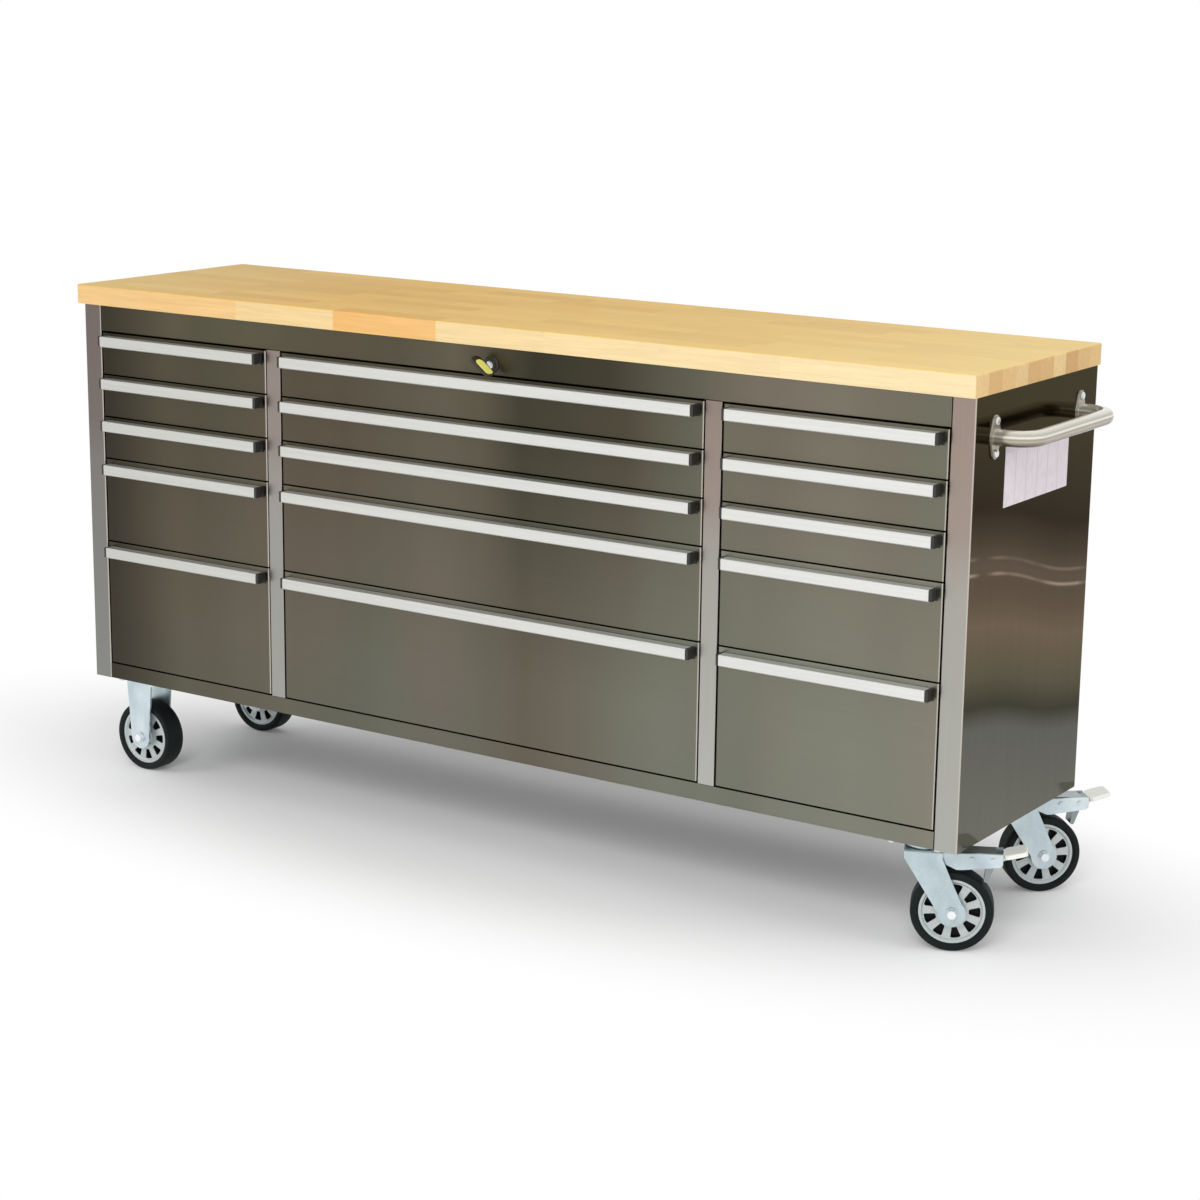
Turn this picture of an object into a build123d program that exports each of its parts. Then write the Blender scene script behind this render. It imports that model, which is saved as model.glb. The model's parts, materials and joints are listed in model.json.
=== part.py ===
"""Rolling tool chest: steel cabinet with 15 drawers in three banks, a wood worktop, a push handle
and four casters. Millimetres, +X along the length towards the push handle, -Y is the drawer side,
+Z is up. The origin is on the floor, under the middle of the whole chest at rest."""

import os
from math import atan2, cos, degrees, hypot, radians, sin

from build123d import *

os.makedirs("parts", exist_ok=True)

# ---- cabinet ----
CABINET_WIDTH = 1820.0
CABINET_DEPTH = 441.0
CABINET_HEIGHT = 710.0
SHEET = 1.2
BEND_RADIUS = 2.6
POST_WIDTH = 40.0
DIVIDER_WIDTH = 31.0
SIDE_BANK_OPENING = 399.5
FASCIA_HEIGHT = 48.5
RAIL_HEIGHT = 29.2
SEAM = 0.4
FLANGE = 22.0
REAR_FLANGE = 30.0
PAN_WALL = 20.0

# ---- worktop ----
WORKTOP_THICKNESS = 35.0
OVERHANG_FRONT = 10.0
OVERHANG_BACK = 6.0
OVERHANG_LEFT = 8.0
OVERHANG_RIGHT = 2.0
WORKTOP_EDGE_RADIUS = 2.5

# ---- drawers: rows from the top, in height units ----
ROW_UNITS = (1, 1, 1, 2, 3)
DRAWER_GAP = 3.0
DRAWER_SIDE_GAP = 2.5
FRONT_PAN_DEPTH = 14.0
FRONT_EDGE_RADIUS = 3.0
DRAWER_SHEET = 1.0
TRAY_LENGTH = 400.0
TRAY_BOTTOM_LIFT = 5.0
TRAY_TOP_DROP = 12.0
TRAY_HEM = 6.0

# ---- slides ----
SLIDE_THICKNESS = 12.7
SLIDE_HEIGHT = 35.0
SLIDE_LENGTH = 395.0
SLIDE_SHEET = 1.2
SLIDE_FIT = 0.5
SLIDE_FLANGE = 8.6

# ---- pulls ----
PULL_INSET = 8.0
PULL_DROP = 4.4
DEEP_PULL_DROP = 7.8
PULL_REACH = 21.0
PULL_LIP = 18.2
PULL_CURL = (4.0, 1.8)
PULL_BACK = 20.0
PULL_SHEET = 1.8
PULL_RADIUS = 2.4
CAP_LENGTH = 5.5
CAP_DEPTH = 14.5
CAP_RADIUS = 1.5

# ---- lock and key ----
LOCK_X = 21.0
LOCK_RISE = 18.0
LOCK_BEZEL_RADIUS = 15.0
LOCK_BEZEL_PROUD = 3.0
LOCK_FACE_RADIUS = 11.0
LOCK_FACE_PROUD = 5.0
LOCK_BARREL_RADIUS = 9.5
LOCK_BARREL_FIT = 0.2
LOCK_BARREL_LENGTH = 30.0
PLUG_RADIUS = 6.5
PLUG_FIT = 0.05
CAM = (12.0, 28.0, 2.0)
KEY_TURN = 38.0
KEY_NECK = 8.0
KEY_BLADE = (8.0, 30.0, 2.2)
KEY_BOW = (46.0, 26.0, 4.0)
KEY_BOW_RADIUS = 9.0
KEY_PAD = (34.0, 18.0, 1.2)
KEY_PAD_SHIFT = 4.0
KEY_HOLE_RADIUS = 2.6
KEY_HOLE_INSET = 6.0

# ---- push handle ----
TUBE_DIAMETER = 25.4
TUBE_WALL = 1.5
HANDLE_SPAN = 310.0
HANDLE_STANDOFF = 58.0
HANDLE_BEND = 38.0
HANDLE_DROP = 67.0
HANDLE_FLANGE = 3.0
HANDLE_BOLT_PITCH = 50.0

# ---- label card ----
CARD = (0.4, 232.0, 95.0)
CARD_FRONT_OFFSET = 107.0
CARD_BOTTOM_DROP = 183.0

# ---- casters ----
CASTER_END_INSET = 84.0
CASTER_SIDE_INSET = 56.0
WHEEL_RADIUS = 66.0
WHEEL_WIDTH = 43.0
TYRE_SHOULDER = 4.0
TYRE_TO_CROWN = 33.3
RIM_RADIUS = 52.5
RIM_WIDTH = 35.0
RIM_EDGE = 4.0
RIM_RECESS = 2.5
HUB_RADIUS = 15.0
HUB_LENGTH = 48.0
WEB_THICKNESS = 6.0
WINDOW_COUNT = 9
WINDOW_INNER = 26.5
WINDOW_OUTER = 45.0
WINDOW_INNER_WIDTH = 7.5
WINDOW_OUTER_WIDTH = 17.5
REAR_WHEEL_TURN = 25.0
AXLE_RADIUS = 6.0
AXLE_FIT = 0.05
FORK_SHEET = 3.5
FORK_BEND = 7.0
FORK_HALF_WIDTH = 29.0
FORK_TIP_RADIUS = 22.0
FORK_CROWN = 30.0
FORK_SHOULDER = 14.0
CASTER_PLATE = (104.0, 84.0, 4.0)
CASTER_BOLT_PITCH = (80.0, 62.0)
RACE_RADIUS = 31.0
RACE_HEIGHT = 9.0
RACE_GAP = 1.2
KINGPIN_RADIUS = 7.0
KINGPIN_FIT = 0.05
TRAIL = 48.0
FRONT_CASTER_AZIMUTH = 25.7
REAR_CASTER_AZIMUTH = 42.0

# ---- brake ----
BRAKE_WIDTH = 40.0
BRAKE_SHEET = 2.0
BRAKE_START = 20.0
BRAKE_END = 124.0
BRAKE_LIP = 18.0
BRAKE_TO_TYRE = 4.3
BRAKE_PIN_RADIUS = 3.0
BRAKE_PIN_X = 108.0
BRAKE_PIN_DROP = 11.3
BRAKE_RIVET_X = 76.0
BRAKE_NOSE_ANGLE = 20.0
BRAKE_ARM = 28.0
PEDAL_PAD = (37.0, 44.0, 7.0)
PEDAL_TILT = 14.0

# ---- derived positions ----
AXLE_Z = WHEEL_RADIUS
CROWN_Z = 2 * WHEEL_RADIUS + TYRE_TO_CROWN + FORK_SHEET
CASTER_HEIGHT = CROWN_Z + RACE_GAP + RACE_HEIGHT + CASTER_PLATE[2]
TOP_Z = CASTER_HEIGHT + CABINET_HEIGHT
LEFT_X, RIGHT_X = -CABINET_WIDTH / 2, CABINET_WIDTH / 2
FRONT_Y, REAR_Y = -CABINET_DEPTH / 2, CABINET_DEPTH / 2
CENTRE_OPENING = CABINET_WIDTH - 2 * (POST_WIDTH + DIVIDER_WIDTH + SIDE_BANK_OPENING)
BACK_PANEL_Y = REAR_Y - SHEET - 0.1
OPENING_TOP = TOP_Z - FASCIA_HEIGHT
OPENING_BOTTOM = CASTER_HEIGHT + RAIL_HEIGHT
UNIT = (OPENING_TOP - OPENING_BOTTOM - DRAWER_GAP) / sum(ROW_UNITS)
LOCK_Z = OPENING_TOP + LOCK_RISE
BRAKE_PIN_Z = CROWN_Z - FORK_SHEET - BRAKE_PIN_DROP
LEFT_BANK_X = LEFT_X + POST_WIDTH
CENTRE_BANK_X = LEFT_BANK_X + SIDE_BANK_OPENING + DIVIDER_WIDTH
RIGHT_BANK_X = CENTRE_BANK_X + CENTRE_OPENING + DIVIDER_WIDTH
BANKS = {
    "left": (LEFT_BANK_X, SIDE_BANK_OPENING),
    "centre": (CENTRE_BANK_X, CENTRE_OPENING),
    "right": (RIGHT_BANK_X, SIDE_BANK_OPENING),
}

pieces = {}


def block(low, high):
    """Box between two corners."""
    size = [high[i] - low[i] for i in range(3)]
    return Pos(*low) * Box(*size, align=(Align.MIN, Align.MIN, Align.MIN))


def offset_points(points, amount):
    """Points of a polyline moved sideways to its left, mitred at the corners."""
    normals = []
    for (ax, ay), (bx, by) in zip(points, points[1:]):
        length = hypot(bx - ax, by - ay)
        normals.append((-(by - ay) / length, (bx - ax) / length))
    moved = []
    for i, (x, y) in enumerate(points):
        before = normals[max(i - 1, 0)]
        after = normals[min(i, len(normals) - 1)]
        scale = amount / (1 + before[0] * after[0] + before[1] * after[1])
        moved.append((x + (before[0] + after[0]) * scale, y + (before[1] + after[1]) * scale))
    return moved


def strip(points, sheet, outer_radius):
    """Face of a folded strip: the points run along its outer skin, the sheet lies to their left."""
    inner = offset_points(points, sheet)
    corners = len(points) - 2
    inner_radius = max(outer_radius - sheet, 0.3)
    outer_radii = []
    inner_radii = []
    for i in range(1, corners + 1):
        (ax, ay), (bx, by), (cx, cy) = points[i - 1], points[i], points[i + 1]
        left_turn = (bx - ax) * (cy - by) - (by - ay) * (cx - bx) > 0
        outer_radii.append(outer_radius if left_turn else inner_radius)
        inner_radii.append(inner_radius if left_turn else outer_radius)
    radii = [0, *outer_radii, 0, 0, *reversed(inner_radii), 0]
    outline = FilletPolyline(*points, *reversed(inner), radius=radii, close=True)
    return make_face(outline)


def polygon(points):
    """Flat face from its corner points."""
    return make_face(Polyline(*points, close=True))


def prism_z(face, low, high):
    """Face in X and Y raised from one height to another."""
    return extrude(Pos(0, 0, low) * face, high - low)


def prism_x(face, low, high):
    """Face drawn in Y and Z carried along X."""
    return Pos(low, 0, 0) * extrude(Plane.YZ * face, high - low)


def prism_y(face, low, high):
    """Face drawn in X and Z carried along Y."""
    return Pos(0, high, 0) * extrude(Plane.XZ * face, high - low)


def add(name, *shapes):
    """Collects the solids of one named piece."""
    pieces[name] = [solid for shape in shapes for solid in shape.solids()]


def write_pieces():
    """Moves every piece so that the origin is under the middle of the whole chest and writes it."""
    box = Compound([solid for solids in pieces.values() for solid in solids]).bounding_box()
    shift = Pos(-box.center().X, -box.center().Y, -box.min.Z)
    for name, solids in pieces.items():
        moved = [shift * solid for solid in solids]
        piece = moved[0] if len(moved) == 1 else Compound(moved)
        piece.label = name
        export_step(piece, f"parts/{name}.step")


def mirrored(shape):
    """The same shape on the other side of the cabinet's middle plane."""
    return mirror(shape, about=Plane.YZ)


# ---- carcass ----
def worktop():
    slab = block(
        (LEFT_X - OVERHANG_LEFT, FRONT_Y - OVERHANG_FRONT, TOP_Z),
        (RIGHT_X + OVERHANG_RIGHT, REAR_Y + OVERHANG_BACK, TOP_Z + WORKTOP_THICKNESS),
    )
    slab = fillet(slab.edges().filter_by(Axis.Z), WORKTOP_EDGE_RADIUS)
    return fillet(slab.faces().sort_by(Axis.Z)[-1].edges(), WORKTOP_EDGE_RADIUS)


def side_panel():
    """Right side: rear flange, outer skin, front post and inner wall folded from one sheet."""
    inner_x = RIGHT_X - POST_WIDTH
    wall_end = BACK_PANEL_Y - SHEET - SEAM
    outline = [
        (inner_x, wall_end),
        (inner_x, FRONT_Y),
        (RIGHT_X, FRONT_Y),
        (RIGHT_X, REAR_Y),
        (RIGHT_X - REAR_FLANGE, REAR_Y),
    ]
    walls = prism_z(strip(outline, SHEET, BEND_RADIUS), CASTER_HEIGHT, TOP_Z)
    for z in (CASTER_HEIGHT, TOP_Z - SHEET):
        walls += block(
            (inner_x + SHEET / 2, FRONT_Y + BEND_RADIUS, z),
            (RIGHT_X - SHEET / 2, wall_end, z + SHEET),
        )
    return walls


def back_panel():
    reach = CABINET_WIDTH / 2 - BEND_RADIUS - 1.0
    sheet = block((-reach, BACK_PANEL_Y - SHEET, CASTER_HEIGHT), (reach, BACK_PANEL_Y, TOP_Z))
    return sheet


def top_fascia():
    """Strip over the drawers, folded back at the top and the bottom, pierced for the lock."""
    outline = [
        (FRONT_Y + FLANGE, OPENING_TOP),
        (FRONT_Y, OPENING_TOP),
        (FRONT_Y, TOP_Z),
        (FRONT_Y + FLANGE, TOP_Z),
    ]
    # The strip's skin is on the right of this path, so it is walked from the top down.
    face = strip(outline[::-1], SHEET, SHEET + 0.4)
    body = prism_x(face, LEFT_BANK_X + SEAM, -LEFT_BANK_X - SEAM)
    hole = Cylinder(LOCK_BARREL_RADIUS, 4 * SHEET, rotation=(90, 0, 0))
    return body - Pos(LOCK_X, FRONT_Y, LOCK_Z) * hole


def bottom_rail():
    outline = [
        (FRONT_Y + FLANGE, OPENING_BOTTOM),
        (FRONT_Y, OPENING_BOTTOM),
        (FRONT_Y, CASTER_HEIGHT),
        (FRONT_Y + FLANGE, CASTER_HEIGHT),
    ]
    face = strip(outline, SHEET, SHEET + 0.4)
    return prism_x(face, LEFT_BANK_X + SEAM, -LEFT_BANK_X - SEAM)


def divider(centre_x):
    """Hollow partition, open to the back, notched for the fascia and the rail."""
    half = DIVIDER_WIDTH / 2
    rear = BACK_PANEL_Y - SHEET - SEAM
    outline = [
        (centre_x + half, rear),
        (centre_x + half, FRONT_Y),
        (centre_x - half, FRONT_Y),
        (centre_x - half, rear),
    ]
    section = strip(outline[::-1], SHEET, SHEET + 0.4)
    body = prism_z(section, CASTER_HEIGHT + PAN_WALL, TOP_Z)
    for low, high in (
        (CASTER_HEIGHT, OPENING_BOTTOM + SEAM),
        (OPENING_TOP - SEAM, TOP_Z + 1),
    ):
        body -= block(
            (centre_x - half - 1, FRONT_Y - 1, low),
            (centre_x + half + 1, FRONT_Y + FLANGE + SEAM, high),
        )
    return body


def base_pan():
    """Cabinet floor: a shallow folded tray between the side panels."""
    half = CABINET_WIDTH / 2 - POST_WIDTH - SEAM
    front = FRONT_Y + FLANGE + SEAM
    rear = BACK_PANEL_Y - SHEET - SEAM
    low = (-half, front, CASTER_HEIGHT)
    tray = block(low, (half, rear, CASTER_HEIGHT + PAN_WALL))
    tray -= block(
        (-half + SHEET, front + SHEET, CASTER_HEIGHT + SHEET),
        (half - SHEET, rear - SHEET, CASTER_HEIGHT + PAN_WALL + 1),
    )
    return tray


# ---- drawers ----
def row_heights():
    """Lower and upper edge of the drawer front of each row, from the top."""
    top = OPENING_TOP - DRAWER_GAP
    rows = []
    for units in ROW_UNITS:
        height = units * UNIT - DRAWER_GAP
        rows.append((top - height, top))
        top -= units * UNIT
    return rows


def slide_pair(opening_x, width, middle_z):
    """Fixed slide member and moving slide member on both walls of an opening."""
    fixed = []
    moving = []
    start = FRONT_Y + FRONT_PAN_DEPTH + SEAM
    half = SLIDE_HEIGHT / 2
    half_in = half - SLIDE_SHEET - SLIDE_FIT
    for wall_x, inward in ((opening_x, 1), (opening_x + width, -1)):
        outer = [
            (wall_x + inward * SLIDE_FLANGE, middle_z - half),
            (wall_x, middle_z - half),
            (wall_x, middle_z + half),
            (wall_x + inward * SLIDE_FLANGE, middle_z + half),
        ]
        tray_x = wall_x + inward * SLIDE_THICKNESS
        inner = [
            (tray_x - inward * SLIDE_FLANGE, middle_z + half_in),
            (tray_x, middle_z + half_in),
            (tray_x, middle_z - half_in),
            (tray_x - inward * SLIDE_FLANGE, middle_z - half_in),
        ]
        if inward > 0:
            outer, inner = outer[::-1], inner[::-1]
        fixed.append(sharp_channel(outer, start))
        moving.append(sharp_channel(inner, start))
    return fixed, moving


def sharp_channel(outline, start):
    """Channel section along Y, its sheet on the left of the outline."""
    face = polygon([*outline, *reversed(offset_points(outline, SLIDE_SHEET))])
    return prism_y(face, start, start + SLIDE_LENGTH)


def drawer(opening_x, width, low_z, high_z):
    """Front pan with the tray's front wall in its back, and a floor between hemmed walls behind."""
    left, right = opening_x + DRAWER_SIDE_GAP, opening_x + width - DRAWER_SIDE_GAP
    rear_of_pan = FRONT_Y + FRONT_PAN_DEPTH
    pan = block((left, FRONT_Y, low_z), (right, rear_of_pan, high_z))
    upright = pan.edges().filter_by(Axis.Z).group_by(Axis.Y)[0]
    pan = fillet(upright, FRONT_EDGE_RADIUS)
    inside_left, inside_right = left + DRAWER_SHEET, right - DRAWER_SHEET
    inside_low = low_z + DRAWER_SHEET
    pan -= block(
        (inside_left, FRONT_Y + DRAWER_SHEET, inside_low),
        (inside_right, rear_of_pan + 1, high_z - DRAWER_SHEET),
    )
    tray_left, tray_right = opening_x + SLIDE_THICKNESS, opening_x + width - SLIDE_THICKNESS
    tray_low, tray_high = low_z + TRAY_BOTTOM_LIFT, high_z - TRAY_TOP_DROP
    front_wall = block(
        (inside_left, rear_of_pan - DRAWER_SHEET, inside_low),
        (inside_right, rear_of_pan, tray_high),
    )
    rear = rear_of_pan + TRAY_LENGTH
    wall_foot = tray_low + DRAWER_SHEET
    floor = block((tray_left, rear_of_pan, tray_low), (tray_right, rear, wall_foot))
    folds = [
        [(tray_left + TRAY_HEM, tray_high), (tray_left, tray_high), (tray_left, wall_foot)],
        [(tray_right, wall_foot), (tray_right, tray_high), (tray_right - TRAY_HEM, tray_high)],
    ]
    walls = []
    for fold in folds:
        hemmed = polygon([*fold, *reversed(offset_points(fold, DRAWER_SHEET))])
        walls.append(prism_y(hemmed, rear_of_pan, rear - DRAWER_SHEET))
    rear_wall = block((tray_left, rear - DRAWER_SHEET, wall_foot), (tray_right, rear, tray_high))
    return pan, front_wall, floor, *walls, rear_wall


def pull_path():
    """Outer skin of the pull from the drawer front over its top to the curled lip."""
    curl, drop = PULL_CURL
    return [
        (0.0, -PULL_BACK),
        (0.0, 0.0),
        (-PULL_REACH, 0.0),
        (-PULL_REACH, -PULL_LIP),
        (curl - PULL_REACH, -PULL_LIP - drop),
    ]


def pull(opening_x, width, top_z):
    """Channel pull open at the bottom, whose lip ends in a cap set under the web at each end."""
    left = opening_x + DRAWER_SIDE_GAP + PULL_INSET
    right = opening_x + width - DRAWER_SIDE_GAP - PULL_INSET
    front_y = FRONT_Y - PULL_REACH
    under_web = top_z - PULL_SHEET
    foot = top_z - PULL_LIP
    section = Pos(FRONT_Y, top_z) * strip(pull_path(), PULL_SHEET, PULL_RADIUS)
    channel = prism_x(section, left, right)
    under_curl = foot - PULL_CURL[1] - PULL_SHEET
    back_y = front_y + CAP_DEPTH
    caps = []
    for start in (left, right - CAP_LENGTH):
        end = start + CAP_LENGTH
        channel -= block((start, front_y, under_curl), (end, back_y, under_web))
        cap = block((start, front_y, foot), (end, back_y, under_web))
        caps.append(fillet(cap.edges().filter_by(Axis.Z).group_by(Axis.Y)[0], CAP_RADIUS))
    return channel, *caps


# ---- lock, handle and card ----
def lock_bar(radius, start, end):
    """Round bar on the lock's axis between two places in Y."""
    bar = Cylinder(radius, end - start, rotation=(90, 0, 0))
    return Pos(LOCK_X, (start + end) / 2, LOCK_Z) * bar


def lock_body():
    """Bezel on the fascia, the lock's face standing in it and the barrel behind."""
    bezel = lock_bar(LOCK_BEZEL_RADIUS, FRONT_Y - LOCK_BEZEL_PROUD, FRONT_Y)
    bezel = chamfer(bezel.faces().sort_by(Axis.Y)[0].edges(), LOCK_BEZEL_PROUD * 0.6)
    face = lock_bar(LOCK_FACE_RADIUS, FRONT_Y - LOCK_FACE_PROUD, FRONT_Y)
    face = chamfer(face.faces().sort_by(Axis.Y)[0].edges(), 0.8)
    barrel_radius = LOCK_BARREL_RADIUS - LOCK_BARREL_FIT
    barrel = lock_bar(barrel_radius, FRONT_Y - LOCK_BEZEL_PROUD, FRONT_Y + LOCK_BARREL_LENGTH)
    bore_radius = PLUG_RADIUS + PLUG_FIT
    bore = lock_bar(bore_radius, FRONT_Y - 2 * LOCK_FACE_PROUD, FRONT_Y + 2 * LOCK_BARREL_LENGTH)
    return bezel + face + barrel - bore


def key_bow():
    """Flat bow with a ring hole in its outer corner, and its two raised pads."""
    length, reach, thick = KEY_BOW
    outline = RectangleRounded(length, reach, KEY_BOW_RADIUS)
    outline -= Pos(KEY_HOLE_INSET - length / 2, KEY_HOLE_INSET - reach / 2) * Circle(KEY_HOLE_RADIUS)
    bow = prism_z(outline, -thick / 2, thick / 2)
    pad_length, pad_reach, pad_thick = KEY_PAD
    pad = Pos(KEY_PAD_SHIFT, 0) * RectangleRounded(pad_length, pad_reach, pad_reach * 0.4)
    return bow, [prism_z(pad, low, low + pad_thick) for low in (thick / 2, -thick / 2 - pad_thick)]


def lock_keys():
    """Plug with its cam, and the key that stands in it."""
    plug_front = FRONT_Y - LOCK_FACE_PROUD
    plug_end = FRONT_Y + LOCK_BARREL_LENGTH
    width, height, thick = CAM
    cam = Pos(LOCK_X, plug_end, LOCK_Z - width / 2) * Box(
        width, thick, height, align=(Align.CENTER, Align.MIN, Align.MIN)
    )
    turned = Pos(LOCK_X, plug_front, LOCK_Z) * Rot(0, KEY_TURN, 0)
    blade_width, blade_length, blade_thick = KEY_BLADE
    blade = turned * Pos(0, blade_length / 2 - KEY_NECK, 0) * Box(
        blade_width, blade_length, blade_thick
    )
    plug = lock_bar(PLUG_RADIUS, plug_front, plug_end) + cam - blade
    held = turned * Pos(0, -KEY_NECK - KEY_BOW[1] / 2, 0)
    bow, pads = key_bow()
    return plug, blade + held * bow, *[held * pad for pad in pads]


def handle_path():
    reach, half = HANDLE_STANDOFF, HANDLE_SPAN / 2
    start = (RIGHT_X + HANDLE_FLANGE, -half)
    path = FilletPolyline(
        start,
        (RIGHT_X + reach, -half),
        (RIGHT_X + reach, half),
        (RIGHT_X + HANDLE_FLANGE, half),
        radius=HANDLE_BEND,
    )
    return Pos(0, 0, TOP_Z - HANDLE_DROP) * path


def push_handle():
    """Bent tube welded to two diamond-shaped flange plates."""
    path = handle_path()
    ring = Circle(TUBE_DIAMETER / 2) - Circle(TUBE_DIAMETER / 2 - TUBE_WALL)
    tube = sweep(Plane(origin=path @ 0, z_dir=path % 0) * ring, path=path)
    half_pitch = HANDLE_BOLT_PITCH / 2
    outline = make_hull(
        (
            Circle(TUBE_DIAMETER / 2 + 4.0)
            + Pos(half_pitch, 0) * Circle(9.0)
            + Pos(-half_pitch, 0) * Circle(9.0)
        ).edges()
    )
    outline -= Circle(TUBE_DIAMETER / 2 - TUBE_WALL)
    for side in (-1, 1):
        outline -= Pos(side * half_pitch, 0) * Circle(3.2)
    for side in (-1, 1):
        at = Plane(
            origin=(RIGHT_X, side * HANDLE_SPAN / 2, TOP_Z - HANDLE_DROP),
            x_dir=(0, 0, 1),
            z_dir=(1, 0, 0),
        )
        tube += extrude(at * outline, HANDLE_FLANGE)
    return tube


def handle_bolts():
    bolts = []
    for side in (-1, 1):
        for up in (-1, 1):
            head = Cylinder(6.5, 4.0, align=(Align.CENTER, Align.CENTER, Align.MIN))
            head = fillet(head.faces().sort_by(Axis.Z)[-1].edges(), 3.0)
            shank = Pos(0, 0, -HANDLE_FLANGE) * Cylinder(
                3.1, HANDLE_FLANGE, align=(Align.CENTER, Align.CENTER, Align.MIN)
            )
            bolt = head + shank
            bolts.append(
                Pos(
                    RIGHT_X + HANDLE_FLANGE,
                    side * HANDLE_SPAN / 2,
                    TOP_Z - HANDLE_DROP + up * HANDLE_BOLT_PITCH / 2,
                )
                * Rot(0, 90, 0)
                * bolt
            )
    return bolts


def label_card():
    low = (RIGHT_X, FRONT_Y + CARD_FRONT_OFFSET, TOP_Z - CARD_BOTTOM_DROP)
    return block(low, (low[0] + CARD[0], low[1] + CARD[1], low[2] + CARD[2]))


# ---- casters: drawn with the trail along +X and the axle along Y, swivel axis at the origin ----
def rim():
    """Hub, closed web, outer ring and face discs with nine windows, turned about the axle."""
    bore = AXLE_RADIUS + AXLE_FIT
    hub, half = HUB_LENGTH / 2, RIM_WIDTH / 2
    face = half - RIM_RECESS
    ring = RIM_RADIUS - RIM_EDGE
    skin = [
        (bore, hub),
        (HUB_RADIUS - 1.5, hub),
        (HUB_RADIUS + 2.5, face),
        (ring - RIM_RECESS, face),
        (ring, half),
        (RIM_RADIUS, half),
    ]
    profile = [*skin, *[(radius, -height) for radius, height in reversed(skin)]]
    turned = revolve(Plane.XZ * polygon(profile), Axis.Z)
    outer, inner = WINDOW_OUTER_WIDTH / 2, WINDOW_INNER_WIDTH / 2
    shoulder = (WINDOW_OUTER**2 - outer**2) ** 0.5
    corners = [
        (WINDOW_INNER, -inner),
        (shoulder, -outer),
        (WINDOW_OUTER, 0.0),
        (shoulder, outer),
        (WINDOW_INNER, inner),
    ]
    window = make_face(FilletPolyline(*corners, radius=(1.5, 2.5, 0, 2.5, 1.5), close=True))
    web = WEB_THICKNESS / 2
    pockets = prism_z(window, web, hub) + prism_z(window, -hub, -web)
    for i in range(WINDOW_COUNT):
        turned -= Rot(0, 0, i * 360 / WINDOW_COUNT) * pockets
    return turned


def tyre():
    half, seat = WHEEL_WIDTH / 2, RIM_WIDTH / 2
    skin = [
        (RIM_RADIUS, seat),
        (RIM_RADIUS + half - seat, half),
        (WHEEL_RADIUS - TYRE_SHOULDER * 0.4, half),
        (WHEEL_RADIUS, half - 1.8 * TYRE_SHOULDER),
    ]
    profile = [*skin, *[(radius, -height) for radius, height in reversed(skin)]]
    radii = (0, 0, TYRE_SHOULDER, 0, 0, TYRE_SHOULDER, 0, 0)
    return revolve(Plane.XZ * make_face(FilletPolyline(*profile, radius=radii, close=True)), Axis.Z)


def fork(crown_top, axle_x):
    """Folded fork: an inverted U cut to the leg's side view, drilled for the axle."""
    half = FORK_HALF_WIDTH
    low = AXLE_Z - FORK_TIP_RADIUS
    section = strip(
        [(half, low), (half, crown_top), (-half, crown_top), (-half, low)], FORK_SHEET, FORK_BEND
    )
    side_view = polygon(
        [
            (-FORK_CROWN, crown_top + 1),
            (-FORK_CROWN, crown_top - FORK_SHOULDER),
            (axle_x - FORK_TIP_RADIUS, AXLE_Z),
            (axle_x + FORK_TIP_RADIUS, AXLE_Z),
            (FORK_CROWN, crown_top - FORK_SHOULDER),
            (FORK_CROWN, crown_top + 1),
        ]
    ) + Pos(axle_x, AXLE_Z) * Circle(FORK_TIP_RADIUS)
    body = prism_x(section, -2 * FORK_CROWN, axle_x + 2 * FORK_CROWN)
    body &= prism_y(side_view, -2 * half, 2 * half)
    hole = Cylinder(AXLE_RADIUS, 4 * half, rotation=(90, 0, 0))
    return body - Pos(axle_x, 0, AXLE_Z) * hole


def axle_bolt(axle_x):
    """Axle with a washer and a hexagon at both ends."""
    half = FORK_HALF_WIDTH
    body = Cylinder(AXLE_RADIUS, 2 * half + 8.0)
    for side in (-1, 1):
        body += Pos(0, 0, side * (half + 0.8)) * Cylinder(10.5, 1.6)
        body += Pos(0, 0, side * (half + 4.4)) * extrude(RegularPolygon(8.0, 6), 2.8, both=True)
    return Pos(axle_x, 0, AXLE_Z) * Rot(90, 0, 0) * body


def plate(pitch_hole=4.5):
    """Mounting plate with rounded corners and four bolt holes."""
    length, width, thickness = CASTER_PLATE
    outline = RectangleRounded(length, width, 8.0)
    for x in (-CASTER_BOLT_PITCH[0] / 2, CASTER_BOLT_PITCH[0] / 2):
        for y in (-CASTER_BOLT_PITCH[1] / 2, CASTER_BOLT_PITCH[1] / 2):
            outline -= Pos(x, y) * Circle(pitch_hole)
    return prism_z(outline, CASTER_HEIGHT - thickness, CASTER_HEIGHT)


def plate_bolts():
    """Four bolts through a caster plate and the cabinet floor it hangs from."""
    bolts = []
    low = CASTER_HEIGHT - CASTER_PLATE[2]
    for x in (-CASTER_BOLT_PITCH[0] / 2, CASTER_BOLT_PITCH[0] / 2):
        for y in (-CASTER_BOLT_PITCH[1] / 2, CASTER_BOLT_PITCH[1] / 2):
            shank = Pos(x, y, low) * Cylinder(
                4.4, CASTER_PLATE[2], align=(Align.CENTER, Align.CENTER, Align.MIN)
            )
            head = Pos(x, y, low - 5.0) * extrude(RegularPolygon(7.0, 6), 5.0)
            bolts.append(shank + head)
    return bolts


def rigid_fork():
    """Fork folded down from its own plate."""
    under = CASTER_HEIGHT - CASTER_PLATE[2]
    return plate() + fork(under + FORK_SHEET, 0.0)


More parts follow.
